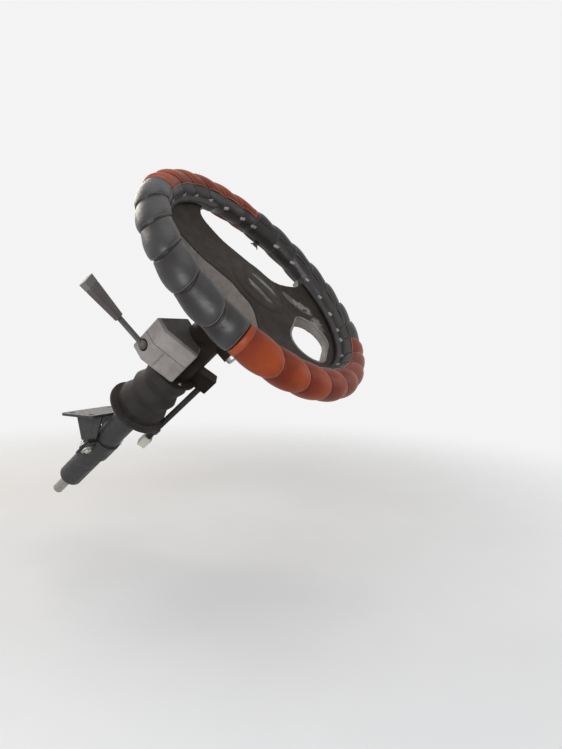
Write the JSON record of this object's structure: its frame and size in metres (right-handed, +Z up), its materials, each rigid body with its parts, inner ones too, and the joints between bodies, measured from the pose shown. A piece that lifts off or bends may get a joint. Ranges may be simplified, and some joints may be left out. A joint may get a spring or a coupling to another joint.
{
  "type": "truck steering wheel and column",
  "caption": "Tilted truck steering column with a three-spoke wheel in a scalloped two-colour laced cover, switch housing with indicator lever, ignition lock, wiring sleeve, boot and mounting bracket.",
  "frame": {"origin": "centre of the bracket's four bolt holes, on the bracket's top face", "axes": "+X to the right of the cab, +Y forward, +Z up, as the column is installed; the column rises backwards at 38.5 degrees"},
  "size_m": [0.4778, 0.7054, 0.6314],
  "materials": {
    "cover_black": "glossy imitation leather, padded",
    "cover_brown": "glossy red-brown imitation leather, padded",
    "wheel_plastic": "grained black moulding, worn",
    "pad_plastic": "soft black moulding",
    "switch_plastic": "dusty grey-beige moulding",
    "lever_plastic": "dark grey moulding, worn edges",
    "lever_cap": "grey moulding",
    "boot_rubber": "dull dusty rubber",
    "loom_sleeve": "black ribbed wiring sleeve",
    "bearing_plastic": "plain nylon",
    "bare_steel": "oiled turned steel",
    "dark_steel": "satin black paint, scuffed"
  },
  "bodies": {
    "column": {"column_tube": "dark_steel", "upper_bearing": "bearing_plastic", "lower_bearing": "bearing_plastic", "switch_carrier": "pad_plastic", "switch_loom": "loom_sleeve", "loom_clip": "dark_steel", "loom_plug": "bearing_plastic", "ignition_lock": "bare_steel", "switch_housing_upper": "switch_plastic", "switch_housing_lower": "switch_plastic", "indicator_arm": "lever_plastic", "indicator_grip": "lever_plastic", "indicator_cap": "lever_cap", "column_boot": "boot_rubber", "mounting_bracket": "dark_steel", "clamp_band": "dark_steel"},
    "wheel": {"rim_core": "wheel_plastic", "cover_brown_top": "cover_brown", "cover_black_left": "cover_black", "cover_brown_bottom": "cover_brown", "cover_black_right": "cover_black", "spoke_moulding": "wheel_plastic", "horn_pad": "pad_plastic", "hub_sleeve": "dark_steel", "steering_shaft": "bare_steel"}
  },
  "joints": [
    {"name": "wheel_turn", "type": "hinge", "parent": "column", "child": "wheel", "pos_m": [0, -0.39522, 0.24437], "axis": [0, -0.7826, 0.6225], "continuous": true}
  ]
}
